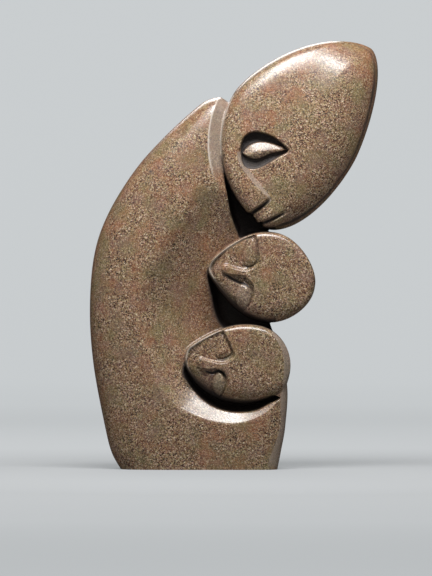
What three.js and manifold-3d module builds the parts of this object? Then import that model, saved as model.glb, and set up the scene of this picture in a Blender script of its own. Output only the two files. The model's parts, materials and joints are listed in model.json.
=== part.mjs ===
// A family group carved from one block of polished stone. A tall hooded figure
// bends over, and its body cradles two small heads under its own tilted head.
//
// Millimetres, +Z up. The carved side faces -Y. The origin is the middle of
// the flat underside.

import * as THREE from "three";
import { mergeVertices } from "three/addons/utils/BufferGeometryUtils.js";
import Module from "manifold-3d";

const STONE_COLOUR = 0x7d6651;
const STONE_ROUGHNESS = 0.35;

// Sections of the body from the foot to the point of the hood. Each one runs
// from the outer edge to the inner edge, as [x, z] seen from the front. `half`
// is half its thickness and `square` says how boxy its corners are.
const BODY_SECTIONS = [
  { outer: [-73.5, 0], inner: [73.5, 0], half: 39, square: 3.4 },
  { outer: [-82, 15.5], inner: [77, 17.5], half: 40, square: 3.4 },
  { outer: [-88.5, 41], inner: [81, 41], half: 41, square: 3.4 },
  { outer: [-99, 97.5], inner: [83.5, 78.5], half: 42, square: 3.2 },
  { outer: [-102.5, 149], inner: [73.5, 116], half: 42, square: 3 },
  { outer: [-98.5, 200], inner: [62, 158.5], half: 41, square: 2.9 },
  { outer: [-85.5, 239], inner: [66, 217], half: 40, square: 2.8 },
  { outer: [-60, 280.5], inner: [56.5, 252.5], half: 38, square: 2.7 },
  { outer: [-31, 313], inner: [49, 290], half: 34, square: 2.6 },
  { outer: [0, 341], inner: [36.5, 325.5], half: 27, square: 2.5 },
  { outer: [12, 347.5], inner: [30, 341.5], half: 18, square: 2.4 },
  { outer: [20.5, 349], inner: [20.5, 349], half: 4, square: 2.4 },
];

// The heads. `tilt` turns the line from the chin to the crown up from +X, and
// `length` is half that line. `left` and `right` are the half widths beside
// it, which grow toward the crown by `leftSwell` and `rightSwell` and away
// from the middle by `waist`. `tip` rounds the two ends, `half` is half the
// thickness and `flat` says how flat the face is.
const PARENT_HEAD = {
  centre: [111.7, -2, 310.6],
  tilt: 59.6,
  length: 98.3,
  left: 88.9,
  right: 40.6,
  leftSwell: -0.133,
  rightSwell: -0.137,
  waist: 0.085,
  tip: 1.7,
  half: 45,
  flat: 2.25,
};
const UPPER_CHILD_HEAD = {
  centre: [58.4, -3, 179],
  tilt: -10.8,
  length: 50.8,
  left: 44.1,
  right: 39.2,
  leftSwell: 0.121,
  rightSwell: 0.254,
  waist: -0.35,
  tip: 2.17,
  half: 38,
  flat: 4.6,
};
const LOWER_CHILD_HEAD = {
  centre: [35.3, -3, 95.8],
  tilt: -16,
  length: 49.7,
  left: 41.7,
  right: 33.8,
  leftSwell: 0.293,
  rightSwell: -0.038,
  waist: -0.35,
  tip: 2.58,
  half: 39,
  flat: 4.6,
};

// The broad scoop in the front of the body, clockwise from its left.
const HOLLOW_EDGE = [
  [-52.5, 139.5],
  [-49, 175.5],
  [-34, 205.5],
  [-9.5, 246],
  [7.5, 265.5],
  [48, 262],
  [87.5, 205.5],
  [100.5, 125.5],
  [82.5, 72],
  [43, 47.5],
  [1, 52],
  [-34, 78.5],
];
const HOLLOW_CENTRE = [29, 128];
const HOLLOW_FLOOR = -15;
const HOLLOW_RIM = -39;

// The bevel beside the parent's head, from its edge out over the body. It
// drops toward the head, and its rim follows the body's front up to the top.
const COLLAR_WIDTH = 11;
const COLLAR_DROP = 8;
const COLLAR_BOTTOM = { z: 285, rim: -38 };
const COLLAR_TOP = { z: 349, rim: -2 };
const COLLAR_CURVE = 0.33;

// The three deep, dark pockets: beside the parent's chin, and below each of
// the small heads, where they follow the head's own outline, moved.
const CHIN_POCKET_EDGE = [
  [20.5, 307],
  [32, 299.5],
  [44, 266.5],
  [59, 238.5],
  [55.5, 214],
  [35.5, 217.5],
  [28, 241],
  [25, 262],
  [22.5, 285.5],
];
const CHIN_POCKET = { centre: [38, 255], floor: -2, rim: -26 };
const UPPER_POCKET = { shift: [-3, -15], floor: -2, rim: -20 };
const LOWER_POCKET = { shift: [-2, -8.5], floor: -8, rim: -29 };

// The parent's eye socket, and the cheek that is cut back beside the nose.
const PARENT_SOCKET_EDGE = [
  [38.5, 299.5],
  [41, 309],
  [46.5, 313],
  [53.5, 314],
  [62, 312.5],
  [71.5, 308.5],
  [86.5, 298.5],
  [74.5, 294],
  [65.5, 289],
  [56.5, 283],
  [48, 281.5],
  [42.5, 285],
];
const PARENT_CHEEK_EDGE = [
  [43.5, 284.5],
  [59, 284.5],
  [76, 290],
  [84.5, 276],
  [80, 260],
  [66.5, 251],
  [59, 258],
  [50, 268],
];
const PARENT_SOCKET_DEPTH = 6;
const PARENT_CHEEK_DEPTH = 4;
const PARENT_LID = { from: [38.5, 295], to: [87, 299], left: 10, right: 5.5, skew: 0.5, height: 5 };
const PARENT_NOSE_BASE = { path: [[38, 234], [44, 237.5], [55.5, 244.5], [67.5, 251.5]], width: 7, depth: 6 };
const PARENT_MOUTH = { path: [[47, 226], [57.5, 230], [68.5, 235.5], [80.5, 241]], width: 3, depth: 3 };

// The small faces lie on their sides, chin to the left: the cheek above the
// nose, the cheek below it, a lid in each, and the mouth.
const CHEEK_DEPTH = 4;
const UPPER_CHILD_FACE = {
  cheeks: [
    [[21.5, 198], [34, 210], [54, 218.5], [55, 205.5], [55.5, 196.5], [51.5, 190], [44, 187], [33, 188.5], [24.5, 192.5]],
    [[23.5, 184.5], [33, 182], [44, 178.5], [51, 172.5], [51.5, 158.5], [43, 148], [35, 151], [23.5, 164]],
  ],
  lids: [
    { from: [45, 189], to: [52, 215.5], left: 7.5, right: 4, skew: 0, height: 3.5 },
    { from: [39, 147.5], to: [41.5, 176], left: 6.5, right: 8, skew: 0, height: 3.5 },
  ],
  mouth: { path: [[20.5, 200], [12.5, 190.5], [12, 184.5], [15.5, 175.5]], width: 2.6, depth: 2.4 },
};
const LOWER_CHILD_FACE = {
  cheeks: [
    [[-2, 114], [8.5, 122.5], [22.5, 128], [30.5, 111.5], [25, 103], [19, 101], [10, 103], [0.5, 106]],
    [[0, 93.5], [10, 92], [15, 91], [21.5, 92], [27.5, 84], [23.5, 72], [15, 68], [4.5, 77.5]],
  ],
  lids: [
    { from: [18, 105], to: [20, 127], left: 4, right: 5.5, skew: 0, height: 3.5 },
    { from: [18.5, 68], to: [17, 92], left: 5.5, right: 7.5, skew: 0, height: 3.5 },
  ],
  mouth: { path: [[-5.5, 111.5], [-9.5, 104], [-9.5, 98], [-7, 90.5]], width: 2.6, depth: 2.4 },
};

// How far in front of the stone a cutter starts, and how far the leaning
// walls of a step run past the surface.
const CUTTER_FRONT = -90;
const STEP_CLEARANCE = 0.4;

// How finely each shape is faceted, round it and along it.
const BODY_AROUND = 32;
const BODY_RINGS = 32;
const PARENT_AROUND = 36;
const PARENT_ROWS = 22;
const CHILD_AROUND = 28;
const CHILD_ROWS = 14;
const HOLLOW_AROUND = 36;
const HOLLOW_ROWS = 9;
const POCKET_AROUND = 20;
const POCKET_ROWS = 6;
const STEP_AROUND = 18;
const STEP_ROWS = 7;
const LID_AROUND = 10;
const LID_ROWS = 8;
const GROOVE_AROUND = 4;
const GROOVE_ROWS = 8;

const wasm = await Module();
wasm.setup();

// A closed skin of `rows` rings, from a point at the first row to a point at
// the last. `place` gives the [x, y, z] of each angle round and row.
// `facing` is 1, or -1 for a shape that is mirrored front to back.
function skin(around, rows, place, facing = 1) {
  const geometry = new THREE.SphereGeometry(1, around, rows);
  const position = geometry.attributes.position;
  for (let i = 0; i < position.count; i += 1) {
    const row = Math.floor(i / (around + 1));
    const column = i % (around + 1) % around;
    const turn = (facing * 2 * Math.PI * column) / around;
    position.setXYZ(i, ...place(turn, row));
  }
  return solid(geometry);
}

// The closed solid inside a geometry.
function solid(geometry) {
  geometry.deleteAttribute("normal");
  geometry.deleteAttribute("uv");
  const welded = mergeVertices(geometry, 1e-4);
  return new wasm.Manifold(
    new wasm.Mesh({
      numProp: 3,
      vertProperties: new Float32Array(welded.attributes.position.array),
      triVerts: new Uint32Array(welded.index.array),
    }),
  );
}

// A power that keeps the sign, for squared-off circles.
function bend(value, square) {
  return Math.sign(value) * Math.abs(value) ** (2 / square);
}

// How much of a rounded shape is left at a share of the way to its end.
function roundOff(share, power) {
  return Math.max(0, 1 - Math.abs(share) ** power) ** (1 / power);
}

// The point at `t` on a smooth line through the points, both ends included.
function onLine(points, t) {
  return new THREE.SplineCurve(points.map((point) => new THREE.Vector2(...point))).getPoint(t);
}

// A smooth closed edge through the points, as a function of the angle round.
function closedEdge(points) {
  const curve = new THREE.CatmullRomCurve3(
    points.map(([x, z]) => new THREE.Vector3(x, 0, z)),
    true,
    "catmullrom",
    0.5,
  );
  return (turn) => {
    const point = curve.getPoint(turn / (2 * Math.PI));
    return [point.x, point.z];
  };
}

// The hooded body without its hollow, standing on a flat foot.
function bodySolid() {
  const outer = BODY_SECTIONS.map((section) => section.outer);
  const inner = BODY_SECTIONS.map((section) => section.inner);
  const form = BODY_SECTIONS.map((section) => [section.half, section.square]);
  return skin(BODY_AROUND, BODY_RINGS, (turn, row) => {
    const onFoot = row === BODY_RINGS;
    const climb = Math.max(0, 1 - row / (BODY_RINGS - 1));
    const from = onLine(outer, climb);
    const to = onLine(inner, climb);
    const shape = onLine(form, climb);
    const reach = onFoot || row === 0 ? 0 : 1;
    const across = 0.5 + 0.5 * reach * bend(Math.cos(turn), shape.y);
    const deep = reach * shape.x * bend(Math.sin(turn), shape.y);
    const point = from.clone().lerp(to, across);
    return [point.x, deep, Math.max(0, point.y)];
  });
}

// The line across a head at a share of the way from its middle to its crown.
function headSection(head, share) {
  const width = roundOff(share, head.tip);
  const swell = head.waist * share * share;
  const left = head.left * width * (1 + head.leftSwell * share + swell);
  const right = head.right * width * (1 + head.rightSwell * share + swell);
  return { left, right, half: head.half * roundOff(share, head.flat) };
}

// The point of a head at a distance along its axis and to the left of it.
function headPoint(head, along, left) {
  const angle = THREE.MathUtils.degToRad(head.tilt);
  const x = head.centre[0] + along * Math.cos(angle) - left * Math.sin(angle);
  const z = head.centre[2] + along * Math.sin(angle) + left * Math.cos(angle);
  return [x, z];
}

// An egg-shaped head, from the crown to the chin.
function headSolid(head, around, rows) {
  return skin(around, rows, (turn, row) => {
    const share = Math.cos((Math.PI * row) / rows);
    const section = headSection(head, share);
    const middle = (section.left - section.right) / 2;
    const half = (section.left + section.right) / 2;
    const left = middle - half * bend(Math.cos(turn), head.flat);
    const [x, z] = headPoint(head, head.length * share, left);
    return [x, head.centre[1] + section.half * bend(Math.sin(turn), head.flat), z];
  });
}

// The y of a head's surface over the point (x, z), on the side it faces.
function headSurface(head, x, z, facing) {
  const angle = THREE.MathUtils.degToRad(head.tilt);
  const fromX = x - head.centre[0];
  const fromZ = z - head.centre[2];
  const along = fromX * Math.cos(angle) + fromZ * Math.sin(angle);
  const left = fromZ * Math.cos(angle) - fromX * Math.sin(angle);
  const share = THREE.MathUtils.clamp(along / head.length, -0.999, 0.999);
  const section = headSection(head, share);
  const middle = (section.left - section.right) / 2;
  const half = (section.left + section.right) / 2;
  const across = THREE.MathUtils.clamp((left - middle) / half, -1, 1);
  return head.centre[1] - facing * section.half * roundOff(across, head.flat);
}

// A head's outline, moved and grown, clockwise from its left side.
function headEdge(head, shift, grow) {
  return (turn) => {
    const angle = turn - Math.PI / 2;
    const share = Math.cos(angle);
    const section = headSection(head, share);
    const side = Math.sin(angle) < 0 ? section.left : -section.right;
    const spread = grow * Math.sin(angle);
    const [x, z] = headPoint(head, (head.length + grow) * share, side - spread);
    return [x + shift[0], z + shift[1]];
  };
}

// Stone to take away inside a closed edge. `floor` gives the y of its bottom
// over (x, z), at a share of the way out to the edge, which goes on to
// `reach`. From there the walls run straight out at the front.
function cutter(edge, centre, reach, around, rows, floor, facing = 1) {
  const place = (turn, row) => {
    const share = row === rows ? 0 : reach * Math.min(1, row / (rows - 2));
    const [edgeX, edgeZ] = edge(turn);
    const x = centre[0] + share * (edgeX - centre[0]);
    const z = centre[1] + share * (edgeZ - centre[1]);
    return [x, row >= rows - 1 ? facing * CUTTER_FRONT : floor(x, z, share), z];
  };
  return skin(around, rows, place, facing);
}

// The broad scoop: a soft edge at the left and a steeper one at the bottom.
function hollowCutter() {
  const edge = closedEdge(HOLLOW_EDGE);
  return cutter(edge, HOLLOW_CENTRE, 1.15, HOLLOW_AROUND, HOLLOW_ROWS, (x, z, share) => {
    const lowness = THREE.MathUtils.smoothstep(HOLLOW_CENTRE[1] - z, -60, 70);
    const steep = 2.2 + 1.8 * lowness;
    return HOLLOW_FLOOR + (HOLLOW_RIM - HOLLOW_FLOOR) * share ** steep;
  });
}

// The bevel round the left of the parent's head.
function collarCutter() {
  const edge = headEdge(PARENT_HEAD, [0, 0], COLLAR_WIDTH);
  const centre = [PARENT_HEAD.centre[0] - 20, PARENT_HEAD.centre[2]];
  return cutter(edge, centre, 1.1, HOLLOW_AROUND, HOLLOW_ROWS, (x, z, share) => {
    const climb = THREE.MathUtils.clamp((COLLAR_TOP.z - z) / (COLLAR_TOP.z - COLLAR_BOTTOM.z), 0, 1);
    const rim = THREE.MathUtils.lerp(COLLAR_TOP.rim, COLLAR_BOTTOM.rim, climb ** COLLAR_CURVE);
    return rim + COLLAR_DROP * (1 - share ** 4);
  });
}

// A steep-sided pocket.
function pocketCutter(edge, centre, pocket) {
  return cutter(edge, centre, 1.08, POCKET_AROUND, POCKET_ROWS, (x, z, share) => {
    return pocket.floor + (pocket.rim - pocket.floor) * share ** 7;
  });
}

// A pocket that follows a small head's outline.
function childPocketCutter(head, pocket) {
  const centre = [head.centre[0] + pocket.shift[0], head.centre[2] + pocket.shift[1]];
  return pocketCutter(headEdge(head, pocket.shift, 0), centre, pocket);
}

// A step cut into a head's surface, as deep as `depth` says at (x, z), with
// walls that lean out to its edge.
function stepCutter(head, edgePoints, depth, facing = 1) {
  const sumX = edgePoints.reduce((sum, point) => sum + point[0], 0);
  const sumZ = edgePoints.reduce((sum, point) => sum + point[1], 0);
  const centre = [sumX / edgePoints.length, sumZ / edgePoints.length];
  const floor = (x, z, share) => {
    const sunk = share > 0.99 ? -STEP_CLEARANCE : depth(x, z);
    return headSurface(head, x, z, facing) + facing * sunk;
  };
  return cutter(closedEdge(edgePoints), centre, 1, STEP_AROUND, STEP_ROWS, floor, facing);
}

// An almond-shaped eyelid that stands `height` above the floor of its socket.
function lidSolid(head, lid, sunk, facing = 1) {
  const start = new THREE.Vector2(...lid.from);
  const chord = new THREE.Vector2(...lid.to).sub(start);
  const leftward = new THREE.Vector2(-chord.y, chord.x).normalize();
  return skin(LID_AROUND, LID_ROWS, (turn, row) => {
    const share = Math.cos((Math.PI * row) / LID_ROWS);
    const width = (1 - share * share) * (1 - lid.skew * share);
    const side = -Math.cos(turn);
    const offset = side * width * (side > 0 ? lid.left : lid.right);
    const point = start.clone().addScaledVector(chord, (1 + share) / 2).addScaledVector(leftward, offset);
    const base = headSurface(head, point.x, point.y, facing) + facing * sunk;
    return [point.x, base + lid.height * width * Math.sin(turn), point.y];
  });
}

// A groove that tapers at both ends, along a smooth line over a head.
function grooveCutter(head, groove) {
  return skin(GROOVE_AROUND, GROOVE_ROWS, (turn, row) => {
    const along = (1 + Math.cos((Math.PI * row) / GROOVE_ROWS)) / 2;
    const taper = Math.sin((Math.PI * row) / GROOVE_ROWS);
    const point = onLine(groove.path, along);
    const ahead = onLine(groove.path, Math.min(1, along + 0.01));
    const behind = onLine(groove.path, Math.max(0, along - 0.01));
    const tangent = ahead.sub(behind).normalize();
    const offset = -0.5 * groove.width * taper * Math.cos(turn);
    const x = point.x - tangent.y * offset;
    const z = point.y + tangent.x * offset;
    return [x, headSurface(head, x, z, 1) + groove.depth * taper * Math.sin(turn), z];
  });
}

// The hooded body with its hollow, bevel and pockets.
function carvedBody() {
  return bodySolid()
    .subtract(hollowCutter())
    .subtract(collarCutter())
    .subtract(pocketCutter(closedEdge(CHIN_POCKET_EDGE), CHIN_POCKET.centre, CHIN_POCKET))
    .subtract(childPocketCutter(UPPER_CHILD_HEAD, UPPER_POCKET))
    .subtract(childPocketCutter(LOWER_CHILD_HEAD, LOWER_POCKET));
}

// How deep the parent's cheek is cut: a step beside the nose that fades away
// toward the right.
function parentCheekDepth(x, z) {
  const away = (x - 50) * 0.8 + (z - 268) * 0.6;
  return PARENT_CHEEK_DEPTH * (1 - THREE.MathUtils.smoothstep(away, 0, 26)) - 0.4;
}

// The parent's head, with its nose and mouth at the left edge and an eye on
// each side.
function parentHead() {
  const socketDepth = () => PARENT_SOCKET_DEPTH;
  let head = headSolid(PARENT_HEAD, PARENT_AROUND, PARENT_ROWS)
    .subtract(stepCutter(PARENT_HEAD, PARENT_CHEEK_EDGE, parentCheekDepth))
    .subtract(grooveCutter(PARENT_HEAD, PARENT_NOSE_BASE))
    .subtract(grooveCutter(PARENT_HEAD, PARENT_MOUTH));
  for (const facing of [1, -1]) {
    head = head
      .subtract(stepCutter(PARENT_HEAD, PARENT_SOCKET_EDGE, socketDepth, facing))
      .add(lidSolid(PARENT_HEAD, PARENT_LID, PARENT_SOCKET_DEPTH, facing));
  }
  return head;
}

// A small head with its sideways face.
function childHead(head, face) {
  let carved = headSolid(head, CHILD_AROUND, CHILD_ROWS);
  for (const cheek of face.cheeks) {
    carved = carved.subtract(stepCutter(head, cheek, () => CHEEK_DEPTH));
  }
  carved = carved.subtract(grooveCutter(head, face.mouth));
  for (const lid of face.lids) {
    carved = carved.add(lidSolid(head, lid, CHEEK_DEPTH));
  }
  return carved;
}

// The mesh of a finished solid.
function stoneMesh(name, stone) {
  const { vertProperties, triVerts } = stone.getMesh();
  const geometry = new THREE.BufferGeometry();
  geometry.setAttribute("position", new THREE.BufferAttribute(vertProperties, 3));
  geometry.setIndex(new THREE.BufferAttribute(triVerts, 1));
  geometry.computeVertexNormals();
  const material = new THREE.MeshStandardMaterial({
    color: STONE_COLOUR,
    roughness: STONE_ROUGHNESS,
    metalness: 0,
  });
  const mesh = new THREE.Mesh(geometry, material);
  mesh.name = name;
  return mesh;
}

const carving = carvedBody()
  .add(parentHead())
  .add(childHead(UPPER_CHILD_HEAD, UPPER_CHILD_FACE))
  .add(childHead(LOWER_CHILD_HEAD, LOWER_CHILD_FACE));

const sculpture = new THREE.Group();
sculpture.add(stoneMesh("stone_family_carving", carving));

export default sculpture;
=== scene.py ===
import json
import logging
import math
from dataclasses import dataclass
from enum import Enum
from typing import Any, Callable

import bpy
import numpy as np
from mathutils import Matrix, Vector

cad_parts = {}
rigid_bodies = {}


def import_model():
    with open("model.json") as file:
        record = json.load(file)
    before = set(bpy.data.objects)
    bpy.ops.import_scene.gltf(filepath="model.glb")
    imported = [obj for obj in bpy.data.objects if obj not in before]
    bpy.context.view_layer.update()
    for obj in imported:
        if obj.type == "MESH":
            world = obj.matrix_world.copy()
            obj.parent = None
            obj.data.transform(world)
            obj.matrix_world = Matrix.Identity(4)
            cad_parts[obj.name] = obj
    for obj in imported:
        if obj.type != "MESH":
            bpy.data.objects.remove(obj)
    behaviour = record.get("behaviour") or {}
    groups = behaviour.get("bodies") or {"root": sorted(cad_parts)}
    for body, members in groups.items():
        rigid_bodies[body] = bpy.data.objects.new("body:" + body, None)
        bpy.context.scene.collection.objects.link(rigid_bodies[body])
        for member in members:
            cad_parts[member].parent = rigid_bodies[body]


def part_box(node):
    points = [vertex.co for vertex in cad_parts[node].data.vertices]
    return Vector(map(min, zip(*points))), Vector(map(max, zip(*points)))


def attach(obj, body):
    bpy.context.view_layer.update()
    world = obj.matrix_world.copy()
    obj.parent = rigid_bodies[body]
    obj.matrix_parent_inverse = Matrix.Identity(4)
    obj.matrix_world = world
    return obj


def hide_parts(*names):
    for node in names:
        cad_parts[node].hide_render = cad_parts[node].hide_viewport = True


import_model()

MM = 0.001
NODE = "stone_family_carving"
SAME_GAP = 1e-9
ON_LINE = 1e-12
MERGE_GAP = 1e-7
OUTLINE_POINTS = 144
SCOOP_POINTS = 720

Array = np.ndarray
Line = tuple[tuple[float, float], ...]
Span = tuple[float, float]
Colour = tuple[float, float, float]
Place = Callable[[Array, Array], Array]

log = logging.getLogger("stone_family_sculpture")


def smooth_step(value: Array, low: float | Array, high: float | Array) -> Array:
    """A soft step, from 0 where the value is `low` or less to 1 where it is `high` or more."""
    share = np.clip((value - low) / (high - low), 0, 1)
    return share * share * (3 - 2 * share)


def soft_max(first: Array, second: Array, blend: float | Array) -> Array:
    """The larger of two values, rounded off where they differ by less than `blend`."""
    near = np.maximum(blend - np.abs(first - second), 0) / blend
    return np.maximum(first, second) + near * near * blend / 4


def on_curve(points: Line | Array, shares: Array, closed: bool = False) -> Array:
    """Points on the smooth curve through some points.

    Args:
        points: The points that the curve goes through.
        shares: How far along the curve, from 0 to 1, evenly from point to point.
        closed: Whether the curve comes back to its first point.

    Returns:
        One row of coordinates for each share.
    """
    known = np.asarray(points, float)
    spans = len(known) if closed else len(known) - 1
    place = shares * spans
    index = np.minimum(np.floor(place).astype(int), spans - 1)
    weight = (place - index)[:, None]
    wanted = [index + step for step in (-1, 0, 1, 2)]
    if closed:
        before, start, end, after = (known[step % spans] for step in wanted)
    else:
        before, start, end, after = (known[np.clip(step, 0, spans)] for step in wanted)
    leave, arrive = (end - before) / 2, (after - start) / 2
    cubic = 2 * start - 2 * end + leave + arrive
    square = -3 * start + 3 * end - 2 * leave - arrive
    return ((cubic * weight + square) * weight + leave) * weight + start


def rounded(turn: Array, square: float | Array) -> tuple[Array, Array]:
    """A squared-off circle of radius 1.

    Args:
        turn: The angles at which it is wanted.
        square: How square it is; 2 is a true circle.

    Returns:
        Its two coordinates at each angle.
    """
    across, deep = np.cos(turn), np.sin(turn)
    reach = (np.abs(across) ** square + np.abs(deep) ** square) ** (-1 / square)
    return across * reach, deep * reach


def toward_front(turn: Array, pull: float = 0.5) -> Array:
    """Draws even angles round a piece toward its front, where the sine is -1."""
    return turn - pull * np.cos(turn)


@dataclass(frozen=True)
class Trace:
    """A line drawn on the front of the stone, as short straight stretches."""

    path: Array
    closed: bool = False

    @classmethod
    def smooth(cls, points: Line, closed: bool = False, step: int = 8) -> "Trace":
        """Draws one smooth line.

        Args:
            points: The points that it goes through.
            closed: Whether it comes back to its start.
            step: How many stretches there are from point to point.

        Returns:
            The line.
        """
        spans = len(points) if closed else len(points) - 1
        path = on_curve(points, np.linspace(0, 1, spans * step + 1), closed)
        return cls(path[:-1] if closed else path, closed)

    @classmethod
    def cornered(cls, *edges: Line) -> "Trace":
        """Draws a closed shape of smooth edges; each one starts where the last one ended."""
        drawn = [cls.smooth(edge).path[:-1] for edge in edges]
        return cls(np.concatenate(drawn), True)

    def marks(self, count: int) -> Array:
        """The shares of the way along at which its `count` first points lie."""
        lengths = np.linalg.norm(np.diff(self.path, axis=0), axis=1)
        travelled = np.concatenate([[0], np.cumsum(lengths)])
        return travelled[:: (len(self.path) - 1) // (count - 1)] / travelled[-1]

    def measure(self, x: Array, z: Array) -> tuple[Array, Array, Array]:
        """Measures points against the line.

        Args:
            x: The points' x.
            z: The points' z.

        Returns:
            The distance to the line, positive inside a closed one or left of an open
            one. The share of the way along to the nearest place. How far a point lies
            past the ends of an open line.
        """
        start = self.path if self.closed else self.path[:-1]
        end = np.roll(self.path, -1, 0) if self.closed else self.path[1:]
        lengths = np.linalg.norm(end - start, axis=1)
        travelled = np.concatenate([[0], np.cumsum(lengths)])
        nearest = np.full(x.shape, np.inf)
        side, along, beyond = np.ones(x.shape), np.zeros(x.shape), np.zeros(x.shape)
        inside = np.zeros(x.shape, bool)
        for index, (a, b) in enumerate(zip(start, end)):
            run = b - a
            from_x, from_z = x - a[0], z - a[1]
            exact = (from_x * run[0] + from_z * run[1]) / lengths[index] ** 2
            share = np.clip(exact, 0, 1)
            gap = np.hypot(from_x - share * run[0], from_z - share * run[1])
            closer = gap < nearest - SAME_GAP
            past = np.zeros(x.shape)
            if index == 0:
                past = np.maximum(past, -exact * lengths[index])
            if index == len(start) - 1:
                past = np.maximum(past, (exact - 1) * lengths[index])
            nearest = np.where(closer, gap, nearest)
            turned = np.sign(run[0] * from_z - run[1] * from_x + ON_LINE)
            side = np.where(closer, turned, side)
            along = np.where(closer, travelled[index] + share * lengths[index], along)
            beyond = np.where(closer, past, beyond)
            if run[1]:
                crossed = (a[1] > z) != (b[1] > z)
                inside ^= crossed & (x < a[0] + from_z / run[1] * run[0])
        if self.closed:
            side = np.where(inside, 1, -1)
            beyond = np.zeros(x.shape)
        return side * nearest, along / travelled[-1], beyond


def deselect() -> None:
    """Leaves nothing selected."""
    if bpy.context.object and bpy.context.object.mode != "OBJECT":
        bpy.ops.object.mode_set(mode="OBJECT")
    bpy.ops.object.select_all(action="DESELECT")


def select(*pieces: bpy.types.Object) -> None:
    """Selects some pieces alone, the first one active."""
    deselect()
    for piece in pieces:
        piece.select_set(True)
    bpy.context.view_layer.objects.active = pieces[0]


def vertices_of(piece: bpy.types.Object, what: str = "co") -> Array:
    """Reads a mesh.

    Args:
        piece: The piece.
        what: "co" for its vertices, or "normal" for their normals.

    Returns:
        One row for each vertex.
    """
    found = np.empty(len(piece.data.vertices) * 3, np.float32)
    piece.data.vertices.foreach_get(what, found)
    return found.reshape(-1, 3).astype(float)


def move_vertices(piece: bpy.types.Object, places: Array) -> None:
    """Writes a place for each vertex of a piece."""
    piece.data.vertices.foreach_set("co", places.astype(np.float32).ravel())
    piece.data.update()


def modify(piece: bpy.types.Object, kind: str, **settings: Any) -> None:
    """Adds a modifier and applies it.

    Args:
        piece: The piece.
        kind: The modifier's type.
        settings: The modifier's settings.
    """
    select(piece)
    made = piece.modifiers.new(kind.title(), kind)
    for name, value in settings.items():
        setattr(made, name, value)
    bpy.ops.object.modifier_apply(modifier=made.name)


def skin(name: str, around: int, rings: int, place: Place) -> bpy.types.Object:
    """Rolls a grid up into a closed piece.

    Args:
        name: The piece's name.
        around: How many faces go round it.
        rings: How many rings of faces run from its first pole to its last.
        place: Gives the places, in millimetres, of the angles round the piece and the
            shares of the way from its first pole to its last.

    Returns:
        The piece.
    """
    deselect()
    bpy.ops.mesh.primitive_grid_add(x_subdivisions=around, y_subdivisions=rings, size=1)
    piece = bpy.context.object
    piece.name = name
    sheet = vertices_of(piece) + 0.5
    turn = np.mod(np.round(sheet[:, 0] * around), around) / around * 2 * math.pi
    move_vertices(piece, place(turn, np.round(sheet[:, 1] * rings) / rings) * MM)
    bpy.ops.object.mode_set(mode="EDIT")
    bpy.ops.mesh.select_all(action="SELECT")
    bpy.ops.mesh.remove_doubles(threshold=MERGE_GAP)
    bpy.ops.mesh.normals_make_consistent(inside=False)
    bpy.ops.object.mode_set(mode="OBJECT")
    return piece


@dataclass(frozen=True)
class Head:
    """An egg-shaped head, in millimetres.

    Its axis runs `length` each way from the middle to the chin and to the crown, and the
    `tilt` of it is in degrees up from +X. `left` and `right` are the half widths beside
    it, which grow toward the crown by the swells and at both ends by the waist. `tip`
    rounds the outline's ends, the chin's and crown's end powers round the thickness
    there, and the flats say how square it is. `lean` is how far y grows with the height.
    """

    name: str
    centre: tuple[float, float, float]
    tilt: float
    length: float
    left: float
    right: float
    left_swell: float
    right_swell: float
    tip: float
    half: float
    flat_left: float
    flat_right: float
    waist: float = -0.35
    chin_end: float = 10
    crown_end: float = 10
    lean: float = 0
    around: int = 384
    rings: int = 320

    def section(self, share: Array) -> tuple[Array, Array, Array]:
        """The line across the head.

        Args:
            share: The share of the way from the middle to the crown.

        Returns:
            The half widths on its left and right, and half its thickness.
        """
        level = np.abs(share)
        width = np.maximum(0, 1 - level**self.tip) ** (1 / self.tip)
        swell = self.waist * share * share
        left = self.left * width * (1 + self.left_swell * share + swell)
        right = self.right * width * (1 + self.right_swell * share + swell)
        ends = np.where(share < 0, self.chin_end, self.crown_end)
        return left, right, self.half * np.maximum(0, 1 - level**ends) ** (1 / ends)

    def point(self, along: Array, left: Array) -> tuple[Array, Array]:
        """A point by its distance along the head's axis and to the left of it.

        Args:
            along: The distance from the middle toward the crown.
            left: The distance to the left of the axis.

        Returns:
            Its x and z.
        """
        angle = math.radians(self.tilt)
        x = self.centre[0] + along * math.cos(angle) - left * math.sin(angle)
        z = self.centre[2] + along * math.sin(angle) + left * math.cos(angle)
        return x, z

    def outline(self, grow: float = 0) -> Trace:
        """Draws the head's outline from the front.

        Args:
            grow: How far out it is moved.

        Returns:
            The closed line.
        """
        angle = np.linspace(0, 2 * math.pi, OUTLINE_POINTS, endpoint=False) - math.pi / 2
        share = np.cos(angle)
        left, right, _ = self.section(share)
        side = np.where(np.sin(angle) < 0, left, -right) - grow * np.sin(angle)
        return Trace(np.stack(self.point((self.length + grow) * share, side), 1), True)

    def place(self, turn: Array, polar: Array) -> Array:
        """Where each vertex of the plain head goes; see `skin`."""
        share = np.cos(math.pi * polar)
        left, right, half = self.section(share)
        angle = toward_front(turn)
        across, deep = rounded(angle, np.where(np.cos(angle) < 0, self.flat_left, self.flat_right))
        x, z = self.point(self.length * share, (left - right) / 2 - (left + right) / 2 * across)
        return np.stack([x, self.centre[1] + half * deep + self.lean * (z - self.centre[2]), z], 1)


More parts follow.
